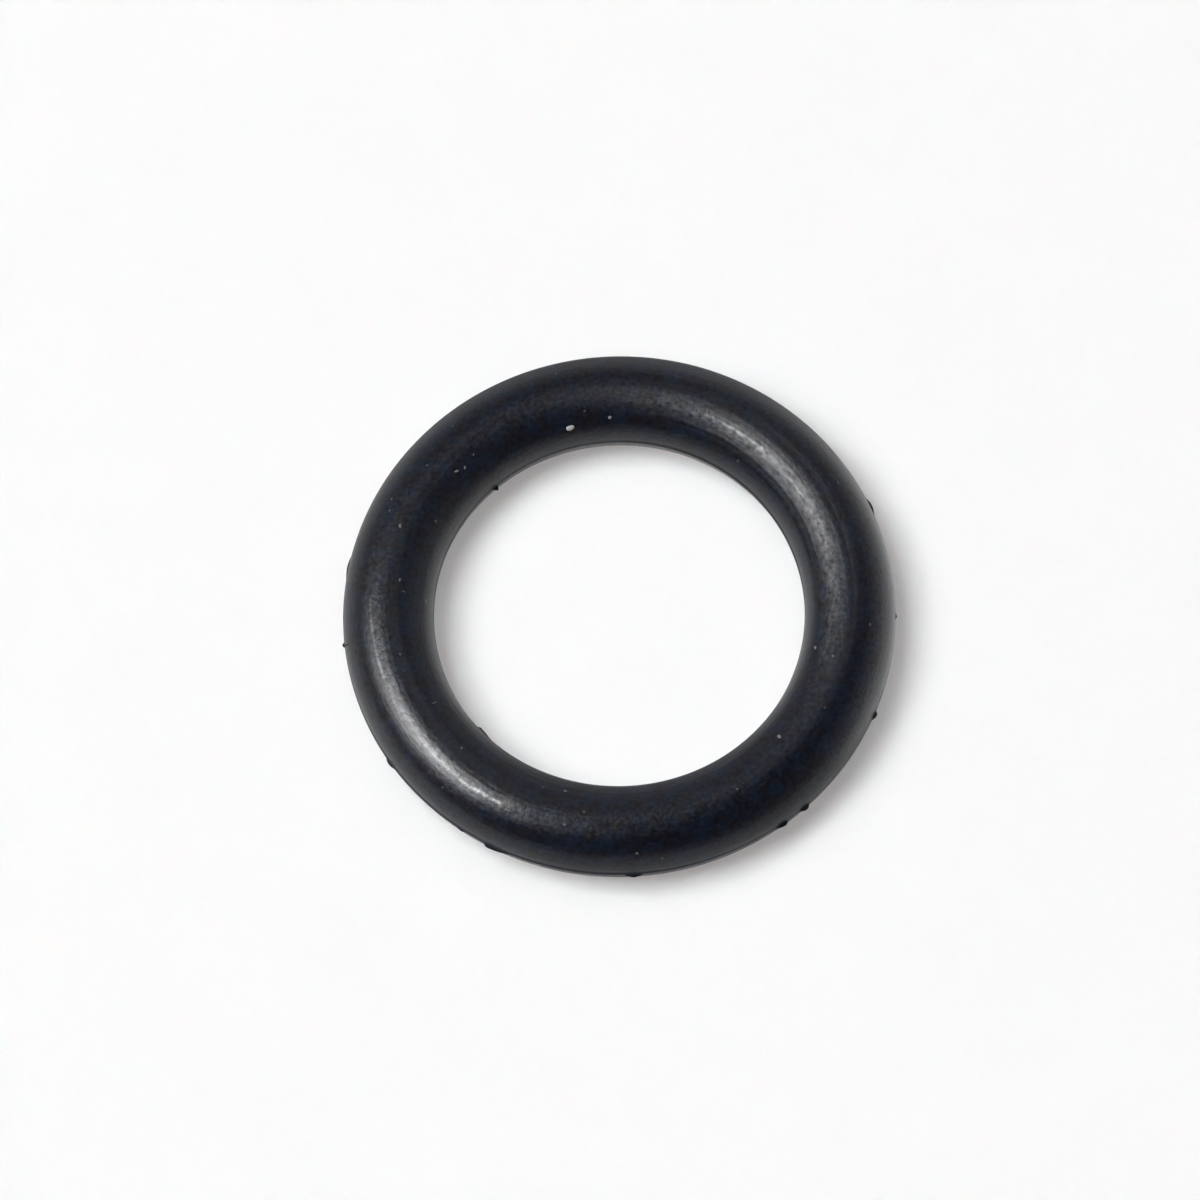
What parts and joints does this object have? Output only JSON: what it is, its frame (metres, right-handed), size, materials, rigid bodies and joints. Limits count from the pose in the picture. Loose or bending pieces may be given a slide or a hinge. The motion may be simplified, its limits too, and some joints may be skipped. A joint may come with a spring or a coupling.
{
  "type": "rubber o-ring",
  "caption": "Black rubber sealing ring of round section, moulded in one piece, with a fine parting ridge and torn flash.",
  "frame": {"origin": "centre of the ring, on its axis at mid height of the section", "axes": "+Z along the axis of the ring, upwards when it lies flat; +X and +Y across the ring"},
  "size_m": [0.0161, 0.0161, 0.0026],
  "materials": {
    "rubber": "satin, moulded, with fine turned mould marks"
  },
  "bodies": {
    "root": {"o_ring": "rubber"}
  },
  "joints": []
}
